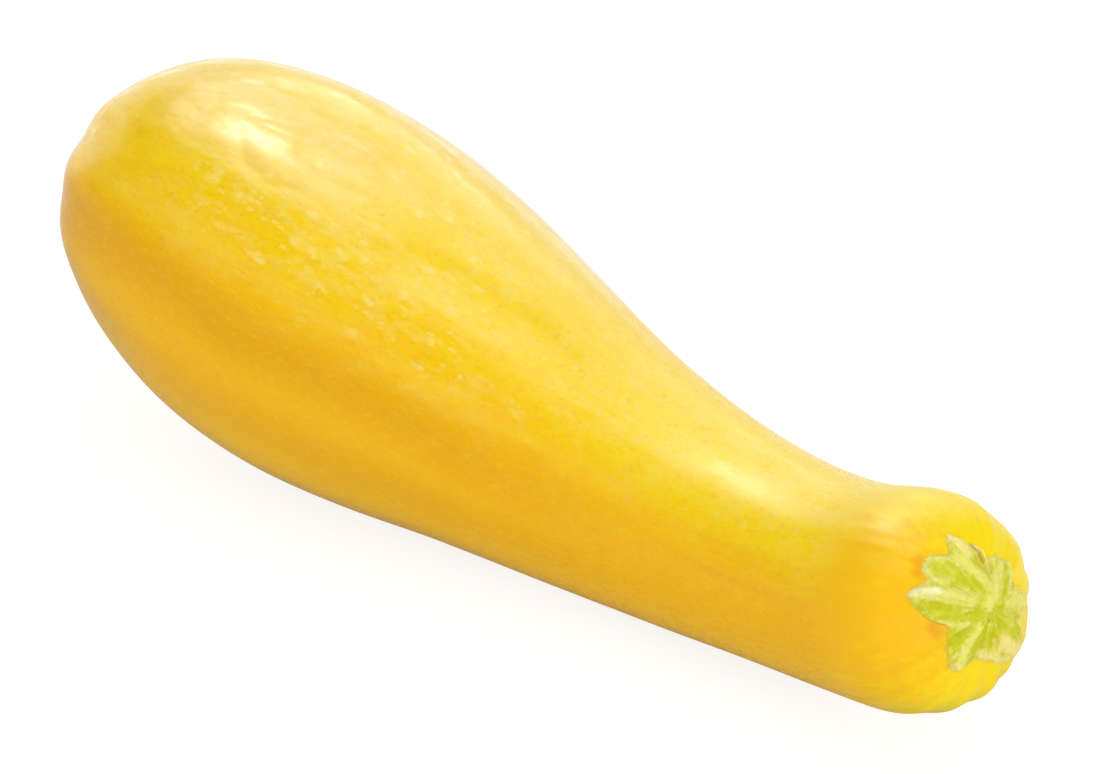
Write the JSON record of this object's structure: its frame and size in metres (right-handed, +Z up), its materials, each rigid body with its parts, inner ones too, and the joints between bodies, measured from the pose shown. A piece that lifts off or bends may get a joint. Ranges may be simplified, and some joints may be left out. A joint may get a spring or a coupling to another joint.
{
  "type": "yellow zucchini",
  "caption": "Yellow zucchini with a swollen blossom end, a slimmer neck and a star-shaped stub of cut stalk, lying on its side.",
  "frame": {"origin": "the middle of the footprint's bounding box, on the surface that the zucchini lies on", "axes": "+X along the fruit from the blossom end to the stalk end, +Z up from the surface, +Y sideways to the left when looking along +X"},
  "size_m": [0.1926, 0.063, 0.0646],
  "materials": {
    "skin": "smooth waxy yellow skin with a soft gloss, fine pale flecks and faint lengthwise veins",
    "stalk": "matt yellow-green, fibrous, with pale corky edges"
  },
  "bodies": {
    "root": {"fruit": "skin", "stalk": "stalk"}
  },
  "joints": []
}
